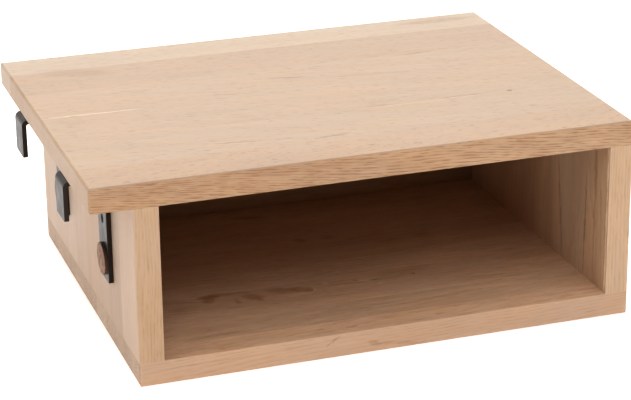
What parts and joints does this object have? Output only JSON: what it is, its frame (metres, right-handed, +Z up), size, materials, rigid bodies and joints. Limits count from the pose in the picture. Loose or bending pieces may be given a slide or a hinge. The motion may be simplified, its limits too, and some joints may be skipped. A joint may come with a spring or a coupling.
{
  "type": "bedside shelf",
  "caption": "Open oak bedside shelf whose overhanging top and bent steel hooks hang it on a bed's side rail; the open compartment faces the front.",
  "frame": {"origin": "middle of the footprint of the whole shelf, hooks included, at the underside of the bottom board", "axes": "+Z up, -Y out of the open front, -X towards the bed, where the hooks are"},
  "size_m": [0.403, 0.3, 0.15],
  "materials": {
    "oak": "matt oiled, pale",
    "beech": "raw",
    "blackened_steel": "satin black",
    "screw_steel": "black",
    "brown_felt": "pressed felt"
  },
  "bodies": {
    "root": {"top_board": "oak", "bottom_board": "oak", "left_side": "oak", "right_side": "oak", "back_panel": "oak", "front_bracket": "blackened_steel", "rear_bracket": "blackened_steel", "front_felt_pad": "brown_felt", "rear_felt_pad": "brown_felt", "front_bracket_screws": "screw_steel", "rear_bracket_screws": "screw_steel", "top_left_dowels": "beech", "top_right_dowels": "beech", "bottom_left_dowels": "beech", "bottom_right_dowels": "beech", "back_left_dowels": "beech", "back_right_dowels": "beech"}
  },
  "joints": []
}
